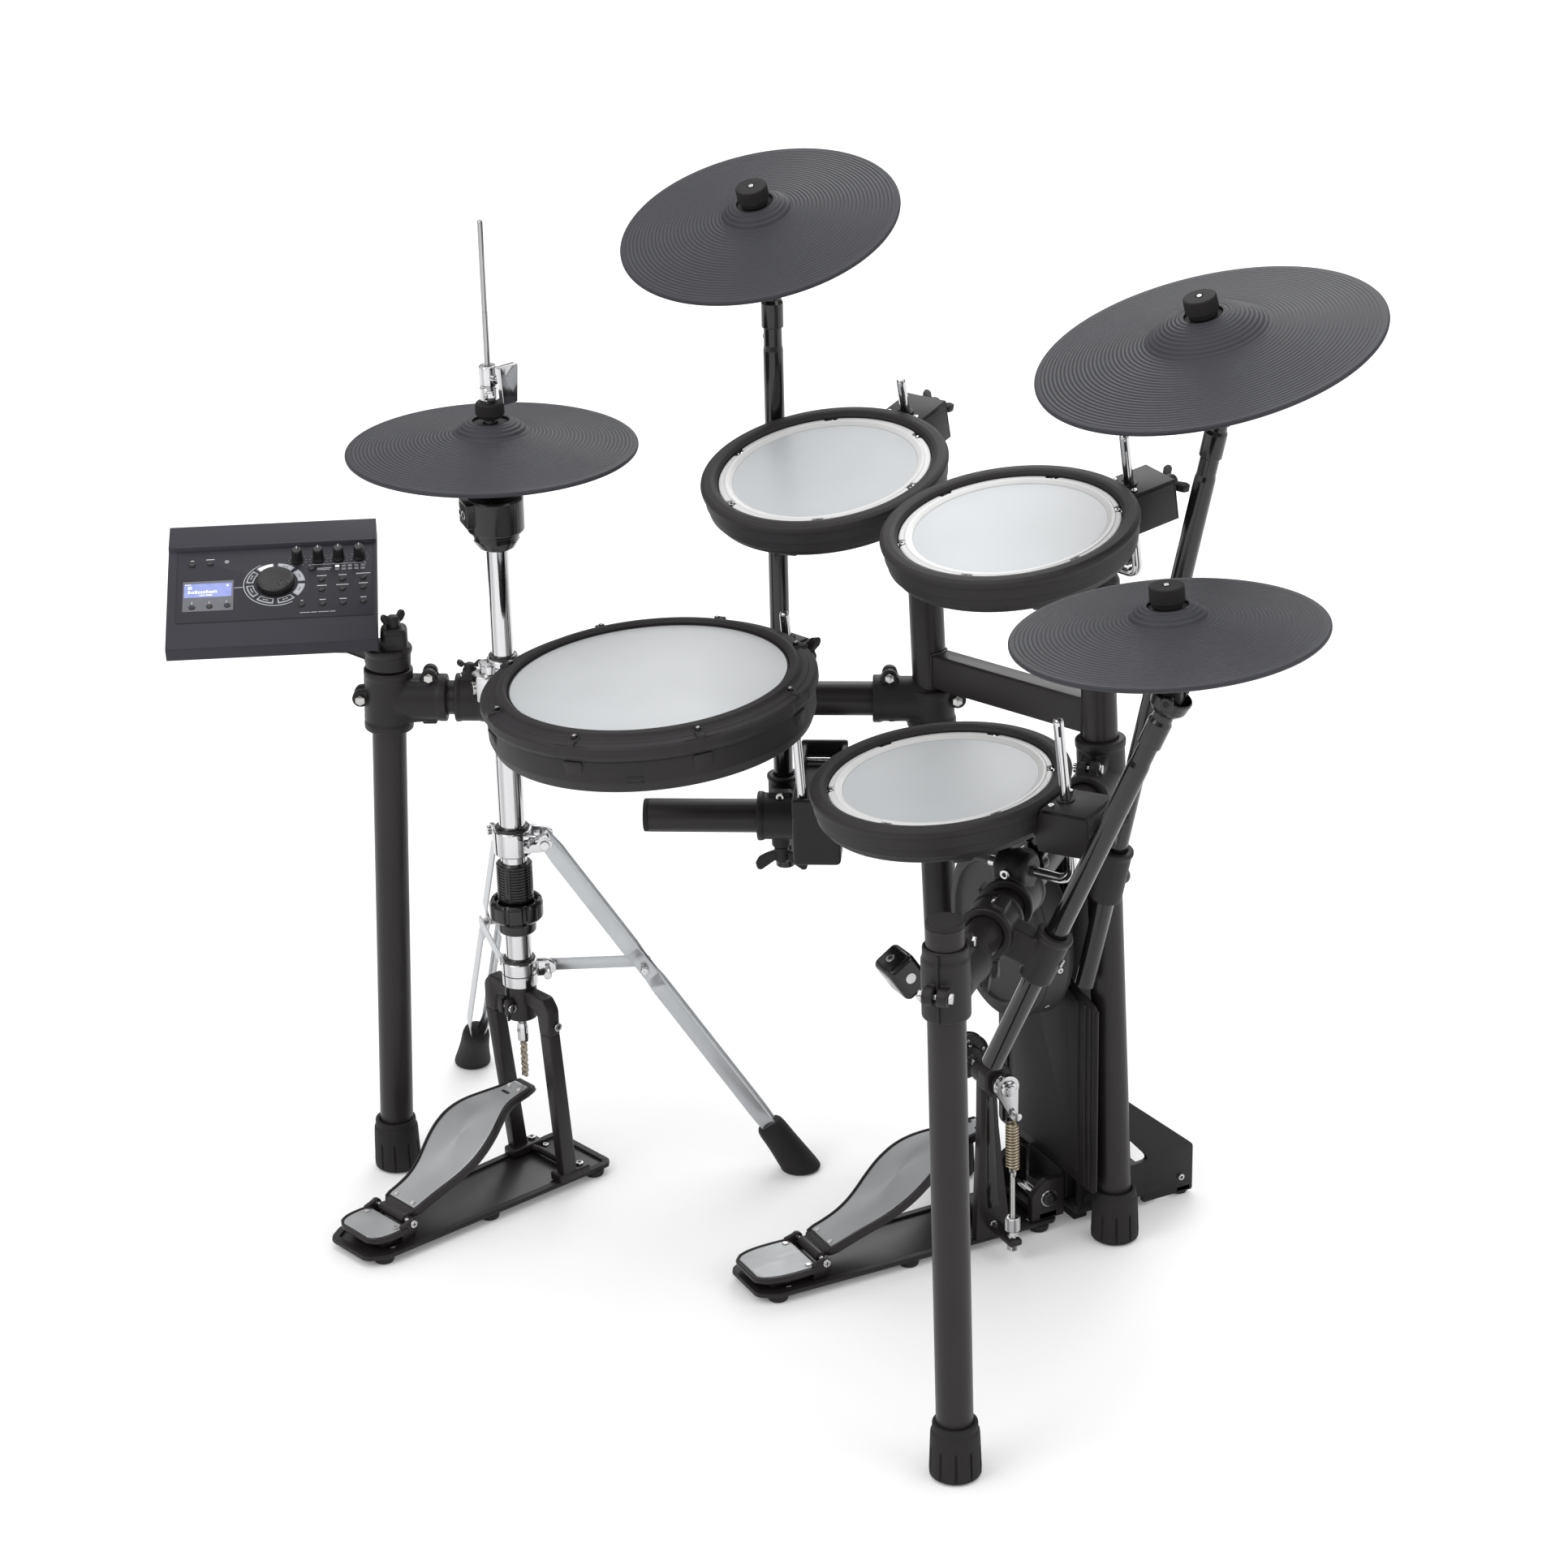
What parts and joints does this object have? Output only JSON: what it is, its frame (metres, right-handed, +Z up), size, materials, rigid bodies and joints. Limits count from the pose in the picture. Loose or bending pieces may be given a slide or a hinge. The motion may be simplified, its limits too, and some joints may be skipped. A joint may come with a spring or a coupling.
{
  "type": "electronic drum kit",
  "caption": "Electronic drum kit: tube rack with mesh-head pads, rubber cymbals on poles, hi-hat stand with pedal, kick tower with pedal, and a tilting sound module.",
  "frame": {"origin": "centre of the kit's plan extents, on the floor", "axes": "+X to the player's right, +Y ahead of the player along the kick pedal, +Z up"},
  "size_m": [1.3148, 1.028, 1.1657],
  "materials": {
    "satin_black": "satin powder coat",
    "gloss_black": "gloss paint",
    "frame_black": "fine textured paint",
    "foot_rubber": "matte",
    "joint_plastic": "matte moulded",
    "clamp_plastic": "semi-matte moulded",
    "clamp_gloss": "gloss moulded",
    "bolt_steel": "bright zinc",
    "chrome_rod": "polished",
    "zinc_steel": "bright zinc",
    "board_metal": "brushed",
    "shell_plastic": "matte",
    "rim_rubber": "matte",
    "mesh_head": "fine woven mesh in a white hoop",
    "cymbal_rubber": "matte with fine turned grooves",
    "pad_rubber": "matte",
    "case_plastic": "fine grain",
    "board_green": "laminate",
    "control_plastic": "soft touch"
  },
  "bodies": {
    "rack": {"rack_tubes": "satin_black", "center_frame": "satin_black", "rack_feet": "foot_rubber", "rack_joints": "joint_plastic", "rack_clamps": "clamp_plastic", "joint_bolts": "bolt_steel", "pad_rods": "chrome_rod", "cymbal_poles": "gloss_black", "hihat_lower_tube": "chrome_rod", "pedal_frames": "frame_black", "pedal_heel_plates": "board_metal", "kick_tower": "frame_black", "kick_pad": "pad_rubber", "kick_chain": "bolt_steel", "kick_spring": "bolt_steel"},
    "left_crash_wing": {"left_crash_wing": "clamp_plastic"},
    "ride_wing": {"ride_wing": "clamp_plastic"},
    "right_crash_wing": {"right_crash_wing": "clamp_plastic"},
    "hihat_height": {"hihat_upper_tube": "chrome_rod", "hihat_control_unit": "clamp_gloss"},
    "hihat_rod": {"hihat_rod": "chrome_rod", "hihat_chain": "bolt_steel"},
    "hihat_clutch": {"hihat_clutch": "chrome_rod"},
    "hihat_cymbal": {"hihat_cymbal": "cymbal_rubber"},
    "hihat_board": {"hihat_footboard": "board_metal"},
    "tripod_hub": {"tripod_hub": "zinc_steel"},
    "tripod_leg_right": {"tripod_leg_right": "zinc_steel"},
    "tripod_leg_left": {"tripod_leg_left": "zinc_steel"},
    "tripod_brace_right": {"tripod_brace_right": "zinc_steel"},
    "tripod_brace_left": {"tripod_brace_left": "zinc_steel"},
    "kick_board": {"kick_footboard": "board_metal"},
    "kick_shaft": {"kick_shaft": "bolt_steel", "kick_beater": "clamp_gloss"},
    "module": {"module_case": "case_plastic", "module_base": "case_plastic", "module_circuit_board": "board_green"},
    "module_dial": {"module_dial": "control_plastic"},
    "module_keys": {"module_keys": "control_plastic"},
    "snare": {"snare_shell": "shell_plastic", "snare_rim": "rim_rubber", "snare_head": "mesh_head"},
    "tom_1": {"tom_1_shell": "shell_plastic", "tom_1_rim": "rim_rubber", "tom_1_head": "mesh_head"},
    "tom_2": {"tom_2_shell": "shell_plastic", "tom_2_rim": "rim_rubber", "tom_2_head": "mesh_head"},
    "floor_tom": {"floor_tom_shell": "shell_plastic", "floor_tom_rim": "rim_rubber", "floor_tom_head": "mesh_head"},
    "left_crash_tilter": {"left_crash_tilter": "clamp_gloss"},
    "left_crash_cymbal": {"left_crash_cymbal": "cymbal_rubber"},
    "ride_tilter": {"ride_tilter": "clamp_gloss"},
    "ride_cymbal": {"ride_cymbal": "cymbal_rubber"},
    "right_crash_tilter": {"right_crash_tilter": "clamp_gloss"},
    "right_crash_cymbal": {"right_crash_cymbal": "cymbal_rubber"},
    "module_knob_1": {"module_knob_1": "control_plastic"},
    "module_knob_2": {"module_knob_2": "control_plastic"},
    "module_knob_3": {"module_knob_3": "control_plastic"},
    "module_knob_4": {"module_knob_4": "control_plastic"}
  },
  "joints": [
    {"name": "snare_height", "type": "slide", "parent": "rack", "child": "snare", "axis": [-0.0239, -0.0656, 0.9976], "range_m": [-0.02, 0.03]},
    {"name": "tom_1_height", "type": "slide", "parent": "rack", "child": "tom_1", "axis": [0.0871, -0.1869, 0.9785], "range_m": [-0.025, 0.025]},
    {"name": "tom_2_height", "type": "slide", "parent": "rack", "child": "tom_2", "axis": [0.0472, -0.1545, 0.9869], "range_m": [-0.025, 0.025]},
    {"name": "floor_tom_height", "type": "slide", "parent": "rack", "child": "floor_tom", "axis": [-0.0232, -0.093, 0.9954], "range_m": [-0.006, 0.03]},
    {"name": "left_crash_tilt", "type": "hinge", "parent": "rack", "child": "left_crash_tilter", "pos_m": [-0.24033, 0.12422, 1.05197], "axis": [-0.8746, -0.4848, 0], "range_deg": [-20, 15]},
    {"name": "left_crash_rock", "type": "hinge", "parent": "left_crash_tilter", "child": "left_crash_cymbal", "pos_m": [-0.22679, 0.09979, 1.13594], "axis": [0.46, -0.8299, -0.3156], "range_deg": [-4, 4], "stiffness_Nm_per_rad": 3},
    {"name": "ride_tilt", "type": "hinge", "parent": "rack", "child": "ride_tilter", "pos_m": [0.28446, 0.35723, 1.01], "axis": [-0.8384, 0.5274, 0.1374], "range_deg": [-20, 15]},
    {"name": "ride_rock", "type": "hinge", "parent": "ride_tilter", "child": "ride_cymbal", "pos_m": [0.28446, 0.33266, 1.10435], "axis": [-0.545, -0.8113, -0.2113], "range_deg": [-4, 4], "stiffness_Nm_per_rad": 3},
    {"name": "right_crash_tilt", "type": "hinge", "parent": "rack", "child": "right_crash_tilter", "pos_m": [0.5088, 0.15883, 0.81617], "axis": [-0.6567, 0.7542, 0.0039], "range_deg": [-20, 15]},
    {"name": "right_crash_rock", "type": "hinge", "parent": "right_crash_tilter", "child": "right_crash_cymbal", "pos_m": [0.50403, 0.15422, 0.90443], "axis": [-0.7523, -0.6546, -0.0749], "range_deg": [-4, 4], "stiffness_Nm_per_rad": 3},
    {"name": "left_crash_wing_turn", "type": "hinge", "parent": "rack", "child": "left_crash_wing", "pos_m": [-0.19578, 0.09697, 0.4035], "axis": [0, 0, -1], "range_deg": [-150, 150]},
    {"name": "ride_wing_turn", "type": "hinge", "parent": "rack", "child": "ride_wing", "pos_m": [0.07879, 0.34565, 0.462], "axis": [-0.916, 0.4013, 0], "range_deg": [-150, 150]},
    {"name": "right_crash_wing_turn", "type": "hinge", "parent": "rack", "child": "right_crash_wing", "pos_m": [0.37114, 0.03906, 0.5115], "axis": [0, 0, -1], "range_deg": [-150, 150]},
    {"name": "hihat_height_slide", "type": "slide", "parent": "rack", "child": "hihat_height", "axis": [0, 0, 1], "range_m": [-0.1, 0]},
    {"name": "hihat_rod_lift", "type": "slide", "parent": "rack", "child": "hihat_rod", "axis": [0, 0, 1], "range_m": [-0.02, 0], "stiffness_N_per_m": 500, "springref_m": 0.05},
    {"name": "hihat_clutch_slide", "type": "slide", "parent": "hihat_rod", "child": "hihat_clutch", "axis": [0, 0, 1], "range_m": [-0.012, 0.05]},
    {"name": "hihat_rock", "type": "hinge", "parent": "hihat_clutch", "child": "hihat_cymbal", "pos_m": [-0.30854, -0.1824, 0.9185], "axis": [0.9677, 0.2521, 0], "range_deg": [-3, 3], "stiffness_Nm_per_rad": 3},
    {"name": "hihat_pedal", "type": "hinge", "parent": "rack", "child": "hihat_board", "pos_m": [-0.25914, -0.37207, 0.032], "axis": [-0.9677, -0.2521, 0], "range_deg": [0, 5.8]},
    {"name": "tripod_slide", "type": "slide", "parent": "rack", "child": "tripod_hub", "axis": [0, 0, 1], "range_m": [0, 0.08]},
    {"name": "tripod_leg_right_fold", "type": "hinge", "parent": "tripod_hub", "child": "tripod_leg_right", "pos_m": [-0.29333, -0.14977, 0.43], "axis": [-0.9063, 0.4226, 0], "range_deg": [0, 8]},
    {"name": "tripod_brace_right_fold", "type": "hinge", "parent": "rack", "child": "tripod_brace_right", "pos_m": [-0.29502, -0.15339, 0.268], "axis": [0.9063, -0.4226, 0], "range_deg": [0, 38]},
    {"name": "tripod_leg_left_fold", "type": "hinge", "parent": "tripod_hub", "child": "tripod_leg_left", "pos_m": [-0.34388, -0.17553, 0.43], "axis": [-0.1908, -0.9816, 0], "range_deg": [0, 8]},
    {"name": "tripod_brace_left_fold", "type": "hinge", "parent": "rack", "child": "tripod_brace_left", "pos_m": [-0.33996, -0.17629, 0.268], "axis": [0.1908, 0.9816, 0], "range_deg": [0, 38]},
    {"name": "kick_pedal", "type": "hinge", "parent": "rack", "child": "kick_board", "pos_m": [0.04346, -0.0004, 0.03], "axis": [-1, 0, 0], "range_deg": [0, 5.3], "deforming": ["kick_chain"]},
    {"name": "kick_swing", "type": "hinge", "parent": "rack", "child": "kick_shaft", "pos_m": [0.04346, 0.1976, 0.219], "axis": [-1, 0, 0], "range_deg": [0, 39], "stiffness_Nm_per_rad": 0.5, "springref_deg": -28.65, "deforming": ["kick_spring"]},
    {"name": "module_tilt", "type": "hinge", "parent": "rack", "child": "module", "pos_m": [-0.49372, -0.35562, 0.65619], "axis": [-0.3907, -0.9205, 0], "range_deg": [0, 18]},
    {"name": "dial_turn", "type": "hinge", "parent": "module", "child": "module_dial", "pos_m": [-0.50418, -0.36856, 0.70787], "axis": [0.3523, -0.1495, 0.9239], "continuous": true},
    {"name": "knob_1_turn", "type": "hinge", "parent": "module", "child": "module_knob_1", "pos_m": [-0.52627, -0.33311, 0.72203], "axis": [0.3523, -0.1495, 0.9239], "range_deg": [-150, 150]},
    {"name": "knob_2_turn", "type": "hinge", "parent": "module", "child": "module_knob_2", "pos_m": [-0.51709, -0.31148, 0.72203], "axis": [0.3523, -0.1495, 0.9239], "range_deg": [-150, 150]},
    {"name": "knob_3_turn", "type": "hinge", "parent": "module", "child": "module_knob_3", "pos_m": [-0.50872, -0.29059, 0.72222], "axis": [0.3523, -0.1495, 0.9239], "range_deg": [-150, 150]},
    {"name": "knob_4_turn", "type": "hinge", "parent": "module", "child": "module_knob_4", "pos_m": [-0.50016, -0.26923, 0.72241], "axis": [0.3523, -0.1495, 0.9239], "range_deg": [-150, 150]},
    {"name": "keys_press", "type": "slide", "parent": "module", "child": "module_keys", "axis": [-0.3523, 0.1495, -0.9239], "range_m": [0, 0.001], "stiffness_N_per_m": 400, "springref_m": -0.0008}
  ],
  "couplings": [
    {"joint": "hihat_pedal", "follows": "hihat_rod_lift", "rad_per_m": -5},
    {"joint": "kick_pedal", "follows": "kick_swing", "ratio": 0.1328},
    {"joint": "tripod_leg_right_fold", "follows": "tripod_slide", "rad_per_m": 1.7},
    {"joint": "tripod_brace_right_fold", "follows": "tripod_slide", "rad_per_m": 8.22},
    {"joint": "tripod_leg_left_fold", "follows": "tripod_slide", "rad_per_m": 1.7},
    {"joint": "tripod_brace_left_fold", "follows": "tripod_slide", "rad_per_m": 8.22}
  ]
}
